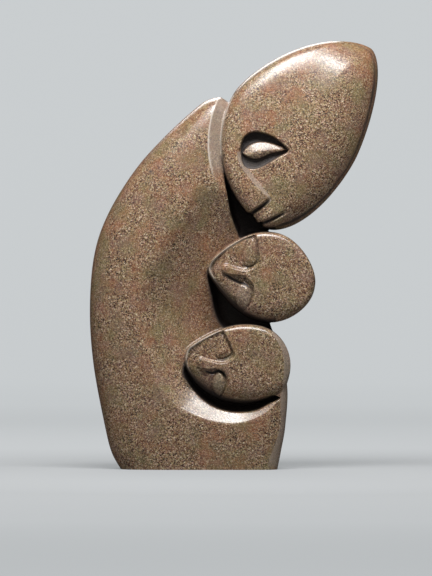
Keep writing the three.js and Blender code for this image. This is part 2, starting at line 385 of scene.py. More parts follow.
@dataclass(frozen=True)
class Step:
    """A recess cut back on the left of a line, whose floor rises again away from it.

    Each row is (x, z, depth, wall, run): a point of the line, and there how deep the
    recess is, how wide its leaning wall is, and how far off the floor is back up. A row
    without its own run takes the step's. Past the line's ends it runs out over `fade`.
    """

    rows: tuple[tuple[float, ...], ...]
    run: float = 0
    fade: float = 4

    def trace(self) -> Trace:
        """Its line."""
        return Trace.smooth(tuple(row[:2] for row in self.rows))

    def cut(self, x: Array, z: Array) -> Array:
        """How deep it is at each point."""
        known = np.asarray([(*row, self.run)[:5] for row in self.rows], float)
        trace = self.trace()
        gap, along, beyond = trace.measure(x, z)
        marks = trace.marks(len(known))
        depth, wall, run = (np.interp(along, marks, known[:, column]) for column in (2, 3, 4))
        ramp = np.clip(gap / wall, 0, 1)
        rise = 1 - smooth_step(gap, wall, run)
        return depth * ramp * rise * (1 - smooth_step(beyond, 0, self.fade))


@dataclass(frozen=True)
class Almond:
    """A shape between an upper and a lower edge that meet in corners."""

    upper: Line
    lower: Line

    def gap(self, x: Array, z: Array) -> Array:
        """How far inside its edges each point lies."""
        return Trace.cornered(self.upper, self.lower).measure(x, z)[0]


@dataclass(frozen=True)
class Socket(Almond):
    """A sunk place, `wall` wide at its edge where it goes down."""

    depth: float
    wall: float

    def cut(self, x: Array, z: Array) -> Array:
        """How deep it is at each point."""
        return self.depth * np.clip(self.gap(x, z) / self.wall, 0, 1)


@dataclass(frozen=True)
class Groove:
    """A V-shaped groove along a line, that tapers at both ends.

    `least` is the square of the taper's own end, and `fade` is how far past the line's
    ends the groove runs out.
    """

    line: Line
    width: float
    depth: float
    least: float = 0.01
    fade: float = 1

    def cut(self, x: Array, z: Array) -> Array:
        """How deep it is at each point."""
        gap, along, beyond = Trace.smooth(self.line).measure(x, z)
        taper = np.sqrt(np.clip(np.sin(math.pi * along), self.least, 1))
        taper = taper * (1 - smooth_step(beyond, 0, self.fade))
        return self.depth * taper * np.clip(1 - 2 * np.abs(gap) / self.width, 0, 1)


@dataclass(frozen=True)
class Lid(Almond):
    """A closed eyelid that stands in a recess.

    `foot` is the height of the wall at its edge and `rise` the further height of its
    ridge, which lies at `reach` from the first edge and from the second one. `seam` is
    the depth of a fine line cut round it.
    """

    foot: float
    rise: float
    reach: tuple[float, float]
    seam: float = 0
    swell: float = 0.8
    wall: float = 0.6
    seam_width: float = 1.1

    def height(self, x: Array, z: Array) -> Array:
        """How high it stands at each point."""
        gap = self.gap(x, z)
        slopes = [
            np.abs(Trace.smooth(edge).measure(x, z)[0]) / reach
            for edge, reach in zip((self.upper, self.lower), self.reach)
        ]
        ridge = np.clip(np.minimum(*slopes), 0, 1) ** self.swell
        height = self.foot * np.clip(gap / self.wall, 0, 1) + self.rise * ridge * (gap > 0)
        return height - self.seam * np.clip(1 - np.abs(gap) / self.seam_width, 0, 1)


@dataclass(frozen=True)
class Face:
    """What is carved in one side of a head.

    `rim` is how wide an edge stays whole above the height `rim_above`; that comes in over
    `rim_fade` below and above it. A lid stays at least `lid_sink` below the uncut stone.
    """

    cuts: tuple[Step | Socket, ...]
    lids: tuple[Lid, ...]
    grooves: tuple[Groove, ...] = ()
    rim: float = 0
    rim_above: float = 0
    rim_fade: float = 4
    lid_sink: float = 0.3

    def depth(self, head: Head, x: Array, z: Array) -> Array:
        """How deep the face is cut.

        Args:
            head: The head that it is cut in.
            x: The points' x.
            z: The points' z.

        Returns:
            The depth at each point.
        """
        depth = np.zeros(x.shape)
        for cut in self.cuts:
            depth = np.maximum(depth, cut.cut(x, z))
        for lid in self.lids:
            depth = np.maximum(depth - lid.height(x, z), np.minimum(depth, self.lid_sink))
        if self.rim:
            gap, _, _ = head.outline().measure(x, z)
            whole = 1 - smooth_step(gap, self.rim / 2, self.rim)
            above = smooth_step(z, self.rim_above - self.rim_fade, self.rim_above + self.rim_fade)
            depth = depth * (1 - whole * above)
        for groove in self.grooves:
            depth = depth + groove.cut(x, z)
        return depth


class Side(Enum):
    """The two sides of the sculpture, by the sign of their y."""

    FRONT = -1
    BACK = 1


@dataclass(frozen=True)
class CarvedHead:
    """A head with a face on its front, and maybe a plainer one on its back.

    A cut comes in from none to its full depth between the two distances in front of the
    middle that `fade` gives. With `follows_edge` it sinks inward at the silhouette, and
    straight in where the stone faces forward; `edge_facing` is where that changes.
    """

    head: Head
    front: Face
    back: Face | None = None
    fade: Span = (-14, -1.4)
    follows_edge: bool = True
    edge_facing: Span = (0.25, 0.6)

    def build(self) -> bpy.types.Object:
        """Makes the head and cuts its faces."""
        piece = skin(self.head.name, self.head.around, self.head.rings, self.head.place)
        self.carve(piece, self.front, Side.FRONT)
        if self.back:
            self.carve(piece, self.back, Side.BACK)
        return piece

    def carve(self, piece: bpy.types.Object, face: Face, side: Side) -> None:
        """Sinks the vertices of one side into the stone.

        Args:
            piece: The head's mesh.
            face: What is cut.
            side: Which side it is cut in.
        """
        places, normals = vertices_of(piece) / MM, vertices_of(piece, "normal")
        past = side.value * (places[:, 1] - self.head.centre[1])
        chosen = np.flatnonzero(past > self.fade[0])
        x, z = places[chosen, 0], places[chosen, 2]
        depth = face.depth(self.head, x, z) * smooth_step(past[chosen], *self.fade)
        facing = normals[chosen]
        forward = smooth_step(np.abs(facing[:, 1]), *self.edge_facing)
        turned = self.follows_edge * (1 - forward)
        into = np.stack(
            [
                -turned * facing[:, 0],
                -side.value * (1 - turned) - turned * facing[:, 1],
                -turned * facing[:, 2],
            ],
            1,
        )
        into /= np.linalg.norm(into, axis=1)[:, None]
        places[chosen] += into * depth[:, None]
        move_vertices(piece, places * MM)


@dataclass(frozen=True)
class Scoop:
    """The broad hollow in the front of the body, round a middle.

    Its wall rises by the power `steepness`, and `easing` less at the bottom. It meets the
    body softly at the top and crisply at the bottom. The two pairs of depths under the
    middle are where these change. Past `reach` times its size it stays level.
    """

    line: Line
    centre: tuple[float, float]
    floor: float
    rim: float
    soft: float
    crisp: float
    steepness: float = 2.2
    easing: float = 0.35
    easing_depths: Span = (-60, 70)
    crisp_depths: Span = (-30, 60)
    reach: float = 1.6

    def surface(self, x: Array, z: Array) -> tuple[Array, Array]:
        """The hollow's own surface.

        Args:
            x: The points' x.
            z: The points' z.

        Returns:
            Its y at each point, and how softly it meets the body there.
        """
        shares = np.linspace(0, 1, SCOOP_POINTS, endpoint=False)
        edge = on_curve(self.line, shares, True) - self.centre
        angles = np.arctan2(edge[:, 1], edge[:, 0])
        order = np.argsort(angles)
        radii = np.hypot(edge[:, 0], edge[:, 1])[order]
        from_x, from_z = x - self.centre[0], z - self.centre[1]
        reach = np.interp(np.arctan2(from_z, from_x), angles[order], radii, period=2 * math.pi)
        share = np.minimum(np.hypot(from_x, from_z) / reach, self.reach)
        power = self.steepness - self.easing * smooth_step(-from_z, *self.easing_depths)
        y = self.floor + (self.rim - self.floor) * share**power
        softness = 1 - smooth_step(-from_z, *self.crisp_depths)
        return y, self.crisp + (self.soft - self.crisp) * softness


@dataclass(frozen=True)
class Collar:
    """The bevel beside the parent's head, `width` wide and `drop` deep at the head."""

    head: Head
    width: float
    drop: float

    def depth(self, x: Array, z: Array) -> Array:
        """How deep it is cut at each point."""
        gap, _, _ = self.head.outline(self.width).measure(x, z)
        return self.drop * np.clip(gap / self.width, 0, 1)


@dataclass(frozen=True)
class Pocket:
    """A steep-sided pocket inside a closed edge on the front of the body.

    Its y goes from `floor` in the middle to `rim` at the edge by the power `steepness`.
    The stone to take away starts at `front` and is `reach` times as wide as the edge.
    """

    name: str
    edge: Line
    centre: tuple[float, float]
    floor: float
    rim: float
    reach: float = 1.08
    steepness: float = 9
    front: float = -90
    around: int = 192
    rings: int = 48

    def place(self, turn: Array, polar: Array) -> Array:
        """Where each vertex of the stone to take away goes; see `skin`."""
        ring = polar * self.rings
        share = self.reach * np.minimum(1, ring / (self.rings - 2))
        share = np.where(ring > self.rings - 0.5, 0, share)
        edge = on_curve(self.edge, np.mod(turn, 2 * math.pi) / (2 * math.pi), True)
        x = self.centre[0] + share * (edge[:, 0] - self.centre[0])
        z = self.centre[1] + share * (edge[:, 1] - self.centre[1])
        deep = self.floor + (self.rim - self.floor) * share**self.steepness
        return np.stack([x, np.where(ring > self.rings - 1.5, self.front, deep), z], 1)

    def build(self) -> bpy.types.Object:
        """Makes the stone to take away."""
        return skin(self.name, self.around, self.rings, self.place)


@dataclass(frozen=True)
class Chamfer:
    """A flat taken off the front of an edge, on the left of a line.

    `steep` is its slope away from the line and `end_slope` the one past the line's ends.
    """

    line: Line
    start: float
    steep: float
    reach: float = 16
    end_slope: float = 2

    def dress(self, piece: bpy.types.Object) -> None:
        """Takes it off a piece."""
        places = vertices_of(piece) / MM
        front = np.flatnonzero(places[:, 1] < 0)
        gap, _, beyond = Trace.smooth(self.line).measure(places[front, 0], places[front, 2])
        flat = self.start + self.steep * gap - self.end_slope * beyond
        taken = (gap > 0) & (gap < self.reach)
        places[front, 1] = np.where(taken, np.maximum(places[front, 1], flat), places[front, 1])
        move_vertices(piece, places * MM)


@dataclass(frozen=True)
class HoodedBody:
    """The tall body.

    Each section is (outer x, outer z, inner x, inner z, half thickness, squareness at the
    outer edge, squareness at the inner edge). The scoop is cut where y is under `front`,
    and the collar comes in between the two distances of `bevel_start` in front of y = 0.
    """

    sections: tuple[tuple[float, ...], ...]
    scoop: Scoop
    collar: Collar
    pockets: tuple[Pocket, ...]
    sunk: float
    front: float = -0.5
    bevel_start: Span = (0, 22)
    around: int = 512
    rings: int = 420

    def place(self, turn: Array, polar: Array) -> Array:
        """Where each vertex of the plain body goes; see `skin`."""
        ring = polar * self.rings
        climb = np.clip(1 - ring / (self.rings - 1), 0, 1)
        known = on_curve(self.sections, climb)
        ends = (ring > self.rings - 0.5) | (ring < 0.5)
        angle = toward_front(turn)
        across, deep = rounded(angle, np.where(np.cos(angle) < 0, known[:, 5], known[:, 6]))
        across, deep = np.where(ends, 0, across), np.where(ends, 0, deep)
        share = 0.5 + 0.5 * across
        x = known[:, 0] + share * (known[:, 2] - known[:, 0])
        z = known[:, 1] + share * (known[:, 3] - known[:, 1])
        onto_foot = np.where(climb == 0, -self.sunk, np.maximum(z, 0))
        return np.stack([x, known[:, 4] * deep, onto_foot], 1)

    def build(self) -> bpy.types.Object:
        """Makes the body, scoops it out, bevels it and cuts the pockets."""
        piece = skin("hooded_body", self.around, self.rings, self.place)
        places = vertices_of(piece) / MM
        front = np.flatnonzero(places[:, 1] < self.front)
        x, y, z = places[front].T
        bevel = self.collar.depth(x, z) * smooth_step(-y, *self.bevel_start)
        hollow, blend = self.scoop.surface(x, z)
        places[front, 1] = soft_max(y + bevel, hollow, blend)
        move_vertices(piece, places * MM)
        for pocket in self.pockets:
            cutter = pocket.build()
            modify(piece, "BOOLEAN", operation="DIFFERENCE", object=cutter, solver="MANIFOLD")
            bpy.data.objects.remove(cutter)
        return piece


@dataclass(frozen=True)
class FinishAndPaintedLight:
    """Marks on the finished stone that its material reads: a smooth grey finish with painted sheen,
    painted highlights on edges, and painted shade in the recesses with a few dark scratch marks.

    A pair of numbers is where a mark fades in or out. They are in millimetres, except
    `far_side` and `slit_depth`, which are shares of the head's length and of the depth.
    The nose's smooth, sheen-painted wall gets narrower by `wall_taper` along the line of the
    nose and ends at `wall_share` of it. `lid_strengths` are the parent's and the small lids'.
    For the cavities, the depth of each side's stone is levelled out over `spread` squares
    each way, `cell` wide, and that `passes` times; stone that turns away from the side by
    more than `facing` allows doesn't count.
    """

    collar: Collar
    nose: Step
    socket: Socket
    eyelid: Lid
    small_lids: tuple[Lid, ...]
    slits: tuple[Groove, ...]
    heads: tuple[Head, ...]
    chamfer: Chamfer
    pockets: tuple[Pocket, ...]
    front: Span = (0, 10)
    crisp: Span = (-0.4, 0.4)
    collar_foot: Span = (268, 290)
    collar_end: Span = (-1, 0.5)
    crease: Span = (0.3, 1)
    rim: Span = (0.4, 1.2)
    rim_inset: float = 0.8
    rim_foot: Span = (285, 300)
    rim_top: float = 350
    far_side: Span = (0.2, 0.5)
    far_rim: Span = (0.5, 1.3)
    far_inset: float = 1.8
    far_strength: float = 0.7
    wall_start: float = 0.4
    wall_width: float = 7
    wall_taper: float = 8
    wall_share: float = 0.75
    flat_end: Span = (0, 10)
    lid_edge: Span = (0.2, 1.2)
    lid_strengths: tuple[float, float] = (0.25, 0.45)
    cut_edge: Span = (1, 4)
    cut_depth: Span = (0.8, 3.6)
    slit_depth: Span = (0.3, 0.6)
    pocket_edge: Span = (-1, 1)
    pocket_rim: Span = (-38, -31)
    pocket_back: Span = (-20, -12)
    facing: float = 0.3
    cell: float = 1
    spread: int = 7
    passes: int = 2

    def cavity(self, places: Array, normals: Array) -> Array:
        """How far each vertex lies below the stone round it.

        Args:
            places: The vertices, in millimetres.
            normals: Their normals.

        Returns:
            The depth in millimetres, negative on raised edges and 0 on the sides.
        """
        found = np.zeros(len(places))
        flat = places[:, ::2]
        spots = np.floor((flat - flat.min(0)) / self.cell).astype(int) + 2 * self.spread
        reach = range(-self.spread, self.spread + 1)
        for side in Side:
            seen = np.flatnonzero(side.value * normals[:, 1] > self.facing)
            sums = np.zeros((2, *(spots.max(0) + 4 * self.spread)))
            where = (spots[seen, 0], spots[seen, 1])
            np.add.at(sums[0], where, side.value * places[seen, 1])
            np.add.at(sums[1], where, 1)
            sums[0] /= np.maximum(sums[1], 1)
            sums[1] = np.minimum(sums[1], 1)
            for axis in (1, 2):
                for _ in range(self.passes):
                    sums = sum(np.roll(sums, step, axis) for step in reach)
            found[seen] = sums[0][where] / sums[1][where] - side.value * places[seen, 1]
        return found

    def honed(self, x: Array, z: Array) -> Array:
        """Where the stone is rubbed smooth and grey, with a painted sheen in it.

        Args:
            x: The points' x.
            z: The points' z.

        Returns:
            How strong the smooth grey finish is at each point, on the collar, the nose's wall,
            the flat down the right edge and the lids; on the first three its paleness is partly
            painted sheen and reflection of the pale surroundings.
        """
        # Partly a smooth finish, partly painted sheen: the pale grey on the collar, nose wall and
        # right-hand flat stands in for reflected light.
        past_head = self.collar.head.outline().measure(x, z)[0]
        strip = smooth_step(past_head + self.collar.width, *self.crisp)
        strip *= (1 - smooth_step(past_head, *self.collar_end)) * smooth_step(z, *self.collar_foot)
        gap, along, beyond = self.nose.trace().measure(x, z)
        wall = (gap > self.wall_start) & (gap < self.wall_width - self.wall_taper * along)
        wall &= (along < self.wall_share) & (beyond == 0)
        gap, _, beyond = Trace.smooth(self.chamfer.line).measure(x, z)
        flat = smooth_step(gap, *self.crisp) * (1 - smooth_step(beyond, *self.flat_end))
        flat *= gap < self.chamfer.reach
        large, small = self.lid_strengths
        lids = [large * smooth_step(self.eyelid.gap(x, z), *self.lid_edge)]
        lids += [small * smooth_step(lid.gap(x, z), *self.lid_edge) for lid in self.small_lids]
        return np.maximum.reduce([strip, flat, wall, *lids])

    def painted_edge_highlights(self, x: Array, z: Array) -> Array:
        """Where a painted highlight brightens an edge.

        Args:
            x: The points' x.
            z: The points' z.

        Returns:
            How bright the painted highlight is at each point, on both edges of the collar
            and on the chin ends of the small heads.
        """
        # Painted highlight: thin bright lines where light would catch the collar's edges and the
        # head's edge beside it.
        past_head = self.collar.head.outline().measure(x, z)[0]
        crease = 1 - smooth_step(np.abs(past_head + self.collar.width), *self.crease)
        rim = 1 - smooth_step(np.abs(past_head - self.rim_inset), *self.rim)
        rim *= smooth_step(z, *self.rim_foot) * (z < self.rim_top)
        edge = np.maximum(crease, rim * (x < self.collar.head.centre[0]))
        edge *= smooth_step(z, *self.collar_foot)
        for head in self.heads[1:]:
            gap = head.outline().measure(x, z)[0]
            start, end = (share * head.length for share in self.far_side)
            far = self.far_strength * smooth_step(head.centre[0] - x, start, end)
            line = 1 - smooth_step(np.abs(gap - self.far_inset), *self.far_rim)
            edge = np.maximum(edge, far * line)
        return edge

    def shade_and_scratches(self, places: Array, normals: Array) -> Array:
        """Where painted shade darkens the recesses, and where a few dark scratch marks lie.

        Args:
            places: The vertices, in millimetres.
            normals: Their normals.

        Returns:
            How dark each vertex is: painted shade deep in the faces' cuts, the socket, the
            slits and the pockets, and the dark lines of the shoulder scratch and the cheek pit.
        """
        x, y, z = places.T
        front = smooth_step(-y, *self.front)
        gaps = [head.outline().measure(x, z)[0] for head in self.heads]
        carved = np.maximum.reduce([smooth_step(gap, *self.cut_edge) for gap in gaps])
        # Painted shade: the faces' cuts darken by how deep they lie below the stone round them.
        found = front * carved * smooth_step(self.cavity(places, normals), *self.cut_depth)
        lid, socket = (
            smooth_step(shape.gap(x, z), *self.lid_edge) for shape in (self.eyelid, self.socket)
        )
        found = np.maximum(found, front * socket) * (1 - lid)
        # Painted shade in the grooves; the shoulder scratch and cheek pit are real dark marks, drawn
        # but not cut.
        for slit in self.slits:
            start, end = (share * slit.depth for share in self.slit_depth)
            found = np.maximum(found, front * smooth_step(slit.cut(x, z), start, end))
        # Painted shade deep inside the pockets.
        inner = smooth_step(y, *self.pocket_rim) * smooth_step(-y, *self.pocket_back)
        for pocket in self.pockets:
            gap, _, _ = Trace.smooth(pocket.edge, True).measure(x, z)
            found = np.maximum(found, smooth_step(gap, *self.pocket_edge) * inner)
        return found

    def mark(self, piece: bpy.types.Object, stone: "PolishedStone") -> None:
        """Writes the marks on the finished carving that its material `stone` reads."""
        places, normals = vertices_of(piece) / MM, vertices_of(piece, "normal")
        x, y, z = places.T
        front = smooth_step(-y, *self.front)
        # Writes the smooth grey finish with its painted sheen, the painted edge highlights, and the
        # painted recess shade with the dark scratch marks.
        self.write(piece, stone.honed, self.honed(x, z) * front)
        self.write(piece, stone.edge_highlight, self.painted_edge_highlights(x, z) * front)
        self.write(piece, stone.shade_and_scratches, self.shade_and_scratches(places, normals))

    @staticmethod
    def write(piece: bpy.types.Object, mark: "Mark", values: Array) -> None:
        """Keeps a value for each vertex in a mark's attribute."""
        made = piece.data.attributes.new(mark.attribute, "FLOAT", "POINT")
        made.data.foreach_set("value", values.astype(np.float32))


@dataclass(frozen=True)
class Carving:
    """The whole sculpture, cut from one block.

    The forms are fused on a `grain` of millimetres and smoothed that many `passes`. Edges
    turned by more than `sharp_angle` degrees stay sharp in the shading.
    """

    body: HoodedBody
    heads: tuple[CarvedHead, ...]
    chamfer: Chamfer
    finish_and_painted_light: FinishAndPaintedLight
    stone: "PolishedStone"
    grain: float = 0.62
    smoothing: float = 0.5
    passes: int = 2
    triangles: int = 192_000
    sharp_angle: float = 50

    def build(self) -> bpy.types.Object:
        """Makes the forms, fuses them into one skin of stone and finishes it."""
        body = self.body.build()
        log.info("hooded_body: %d vertices", len(body.data.vertices))
        forms = [body]
        for carved in self.heads:
            forms.append(carved.build())
            log.info("%s: %d vertices", forms[-1].name, len(forms[-1].data.vertices))
        for form in (forms[0], forms[-1]):
            self.chamfer.dress(form)
        select(*forms)
        bpy.ops.object.join()
        body.name = body.data.name = "carved_stone"
        modify(body, "REMESH", mode="VOXEL", voxel_size=self.grain * MM)
        modify(body, "SMOOTH", factor=self.smoothing, iterations=self.passes)
        sides = sum(len(face.vertices) - 2 for face in body.data.polygons)
        modify(body, "DECIMATE", ratio=self.triangles / sides)
        self.level_foot(body)
        self.finish_and_painted_light.mark(body, self.stone)
        body.data.materials.clear()
        body.data.materials.append(self.stone.material())
        return body

    def level_foot(self, piece: bpy.types.Object) -> None:
        """Cuts the foot off flat at the ground and keeps the stone inside its CAD box."""
        select(piece)
        bpy.ops.object.mode_set(mode="EDIT")
        bpy.ops.mesh.select_all(action="SELECT")
        bpy.ops.mesh.bisect(
            plane_co=(0, 0, 0), plane_no=(0, 0, 1), use_fill=True, clear_inner=True
        )
        bpy.ops.object.mode_set(mode="OBJECT")
        low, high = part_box(NODE)
        move_vertices(piece, np.clip(vertices_of(piece), low, high))
        bpy.ops.object.shade_smooth_by_angle(angle=math.radians(self.sharp_angle))


PARENT = Head(
    name="parent_head", centre=(111.7, -2, 310.6), tilt=59.6, length=98.3, left=88.9,
    right=40.6, left_swell=-0.133, right_swell=-0.137, tip=1.7, half=39.5, flat_left=6,
    flat_right=2, waist=0.085, chin_end=6, crown_end=2.3, lean=0.115, around=512, rings=512,
)
UPPER_CHILD = Head(
    name="upper_child_head", centre=(58.4, -3, 179), tilt=-10.8, length=50.8, left=44.1,
    right=39.2, left_swell=0.121, right_swell=0.254, tip=2.17, half=38, flat_left=12,
    flat_right=5,
)
LOWER_CHILD = Head(
    name="lower_child_head", centre=(35.3, -3, 95.8), tilt=-16, length=49.7, left=41.7,
    right=33.8, left_swell=0.293, right_swell=-0.038, tip=2.58, half=39, flat_left=11,
    flat_right=4.2,
)

PARENT_SOCKET = Socket(
    upper=((84.1, 298.5), (80.8, 302.2), (76.1, 306.4), (69.6, 311.1), (61.1, 314.4),
           (51.7, 315.8), (45.1, 313.5), (40.9, 308.8), (38.8, 302.2), (38.5, 295.6)),
    lower=((38.5, 295.6), (40, 286.8), (43.6, 281.6), (50.8, 279.8), (59.2, 282),
           (66.7, 286.4), (75.2, 291.6), (82.5, 295.6), (84.1, 298.5)),
    depth=9, wall=1.2,
)
PARENT_LID = Lid(
    upper=((83.3, 298.4), (79, 301.2), (72.4, 303.8), (64.9, 306), (56.4, 306.6),
           (48.9, 304.6), (43.2, 300.3), (40, 295.6)),
    lower=((40, 295.6), (43.2, 292.6), (48.9, 290.3), (55.5, 289.9), (61.1, 291.9),
           (66.7, 294.6), (74.3, 296.2), (83.3, 298.4)),
    foot=3.2, rise=3.1, reach=(9, 4),
)
PARENT_NOSE = Step(
    rows=(
        (35.5, 297, 3, 3, 8), (35.4, 291.6, 5, 6.2, 18), (37.8, 285.3, 5.4, 6, 28),
        (40.9, 279.8, 5.2, 5.6, 32), (46.7, 272, 4.8, 5, 32), (52.6, 265.2, 4.2, 4.2, 32),
        (58.9, 259.1, 3.4, 3, 28), (65.3, 252, 2.6, 1.6, 20), (60.5, 247.7, 2.8, 0.8, 14),
        (52.6, 243, 3.2, 0.8, 12), (46.1, 238.6, 3.6, 0.8, 12), (38, 232.5, 3.8, 0.8, 12),
    ),
)
PARENT_MOUTH = Groove(
    line=((82, 241), (74.6, 236.9), (66.7, 233), (58.9, 229.9), (48, 225.6)),
    width=4.6, depth=5,
)
PARENT_NOSE_BASE = Groove(
    line=((67.5, 253.6), (64.8, 251), (60, 246.8), (52.6, 241.6), (45, 236.4), (38, 231.6)),
    width=5.2, depth=5,
)
PARENT_FACE = Face((PARENT_SOCKET, PARENT_NOSE), (PARENT_LID,), (PARENT_MOUTH, PARENT_NOSE_BASE))

UPPER_CHILD_SLIT = Groove(
    line=((21.5, 184.2), (27.3, 180.8), (32.9, 177.2), (38.5, 174.6), (44.5, 172.6), (48.5, 167)),
    width=4.4, depth=2.6,
)
LOWER_CHILD_SLIT = Groove(
    line=((3.6, 93.4), (8.5, 91.4), (12.8, 90.4), (17.4, 92.2), (22.6, 90.7), (26.8, 85.1)),
    width=4, depth=2.2,
)
SMALL_SLITS = (UPPER_CHILD_SLIT, LOWER_CHILD_SLIT)
SHOULDER_SCRATCH = Groove(line=((-47.6, 280.2), (-41.4, 276.8), (-36, 275.4)), width=1.8, depth=0.3)
CHEEK_PIT = Groove(line=((44.2, 110.8), (47.9, 115.2), (52.2, 119.2)), width=3, depth=0.4)

UPPER_CHILD_RECESS = Step(
    rows=(
        (37, 142.5, 2.6, 0.9), (41.2, 147.5, 2.8, 0.9), (45.9, 151.3, 3, 0.9), (50, 157, 3.2, 0.9),
        (51.6, 164.4, 3.4, 0.9), (51.3, 170.5, 3.6, 0.9), (49.3, 175.2, 3.8, 0.9),
        (45.3, 178.9, 3.8, 0.9), (39.9, 181.6, 3.8, 0.9), (33.2, 182.3, 3.6, 0.9),
        (27.1, 183, 3.2, 0.9), (23.3, 184.2, 3, 1), (22, 187.3, 3, 1.2), (23.3, 190.2, 3, 1.6),
        (26.5, 190.6, 3, 2.2), (30.5, 188.3, 3.2, 2.6), (37.2, 186.2, 3.2, 2.8),
        (43.2, 185.2, 3.2, 2.8), (49.3, 186.6, 3.2, 2.8), (54, 189.3, 3.2, 2.4),
        (56.3, 193.7, 3.2, 1.6), (56.4, 202, 3.2, 0.9), (55.7, 208.7, 3.2, 0.8),
        (54.1, 215.5, 3.2, 0.8), (52.4, 222.5, 3.2, 0.8),
    ),
    run=70,
)
UPPER_CHILD_FACE = Face(
    cuts=(UPPER_CHILD_RECESS,),
    lids=(
        Lid(
            upper=((48.5, 217), (44.2, 208.7), (41.5, 202), (41, 196), (42.6, 190.3)),
            lower=((42.6, 190.3), (47.3, 189.9), (51.7, 191.6), (54.2, 195.2), (55, 201.4),
                   (54.3, 208.7), (52.2, 214.8), (48.5, 217)),
            foot=0.7, rise=2.1, reach=(7.5, 4.5), seam=1.5,
        ),
        Lid(
            upper=((41.6, 176.4), (36.5, 170.9), (34.2, 163.1), (34.9, 155), (38.3, 149.7),
                   (40.8, 147.6)),
            lower=((40.8, 147.6), (45.3, 151.3), (48.4, 157), (49.6, 163.8), (48.6, 169.8),
                   (45.6, 174.3), (41.6, 176.4)),
            foot=0.9, rise=2.5, reach=(9, 3.2), seam=1.5,
        ),
    ),
    grooves=(
        UPPER_CHILD_SLIT,
        Groove(
            line=((23.5, 201.8), (17.3, 196.9), (14.1, 192.9), (12.8, 188.6), (13.3, 183.9),
                  (15.7, 179.2)),
            width=2.6, depth=2,
        ),
    ),
    rim=2.6,
    rim_above=177,
)
LOWER_CHILD_RECESS = Step(
    rows=(
        (13.5, 61, 2.6, 0.9), (16.8, 64.8, 2.8, 0.9), (20.8, 67.9, 3, 0.9), (24.5, 73.1, 3.2, 0.9),
        (26.6, 79.8, 3.4, 0.9), (26.2, 85.9, 3.6, 0.9), (23.8, 90.8, 3.8, 0.9), (19.7, 93.7, 3.8, 0.9),
        (14.4, 94.6, 3.6, 0.9), (7.7, 94.1, 3.4, 0.9), (2, 95, 3, 0.9), (-0.4, 97.4, 3, 1),
        (-1.2, 101, 3, 1.2), (0.9, 104, 3, 1.6), (6.3, 102.4, 3.2, 2), (13, 100.2, 3.2, 2.3),
        (21.1, 98.8, 3.2, 2.4), (27.8, 100.4, 3.2, 2.4), (32.6, 104, 3.2, 2), (33.4, 107.6, 3.2, 1.4),
        (31.6, 113.1, 3.4, 0.9), (28.2, 119.8, 3.4, 0.8), (25.1, 125.8, 3.2, 0.8),
        (22.8, 130.2, 3, 0.8), (20, 136, 3, 0.8),
    ),
    run=60,
)
LOWER_CHILD_FACE = Face(
    cuts=(LOWER_CHILD_RECESS,),
    lids=(
        Lid(
            upper=((22.2, 127), (18.4, 120.1), (16, 113.4), (15.4, 107.4), (17.7, 103.6)),
            lower=((17.7, 103.6), (24.5, 104.6), (30.4, 108), (30, 112.4), (27, 119),
                   (22.2, 127)),
            foot=0.7, rise=2.2, reach=(5.5, 6), seam=1.5,
        ),
        Lid(
            upper=((18.1, 92.4), (14.4, 87.2), (12.8, 80.5), (13.3, 73.8), (17.7, 66.8)),
            lower=((17.7, 66.8), (21.6, 70.4), (24.4, 76.5), (24.8, 83.2), (22.4, 89), (18.1, 92.4)),
            foot=0.9, rise=2.4, reach=(8, 3), seam=1.5,
        ),
    ),
    grooves=(
        LOWER_CHILD_SLIT,
        Groove(
            line=((-3.1, 111.8), (-7.8, 106.7), (-10.9, 101.3), (-11.1, 95.9), (-9.1, 90.6)),
            width=2.6, depth=2,
        ),
    ),
    rim=3.4,
    rim_above=92,
)

CHIN_POCKET = Pocket(
    "chin_pocket",
    edge=((26, 303), (36, 296), (50, 262), (66, 238), (72, 222), (57, 214), (40, 215),
          (35.4, 222.5), (31.5, 232.6), (28.9, 242.5), (26.8, 255), (24.4, 268.1),
          (22.2, 283.7), (22, 296)),
    centre=(40, 250), floor=4, rim=-30,
)
UPPER_POCKET = Pocket(
    "upper_pocket",
    edge=((7.3, 181.9), (11.1, 163.1), (14.2, 147.4), (20.5, 134), (36, 124), (60, 124),
          (72, 134), (66, 160), (48, 178), (25, 190), (11, 191)),
    centre=(38, 155), floor=8, rim=-24,
)
LOWER_POCKET = Pocket(
    "lower_pocket",
    edge=((-15.6, 92), (-12.5, 83.9), (-5.8, 74.5), (3.6, 65.1), (14.4, 58.4), (26.5, 54.6),
          (39.9, 53.7), (53.3, 55.6), (65.4, 61.8), (75.2, 67.4), (66, 71.5), (60, 80),
          (50, 106), (22, 116), (-4, 111), (-13, 102)),
    centre=(30, 84), floor=-4, rim=-31,
)
RIGHT_CHAMFER = Chamfer(
    line=((68.6, 127.4), (78.2, 109), (79, 85.1), (76.1, 64.4), (75.8, 40.3), (65.4, 8.9)),
    start=-42, steep=1.1,
)
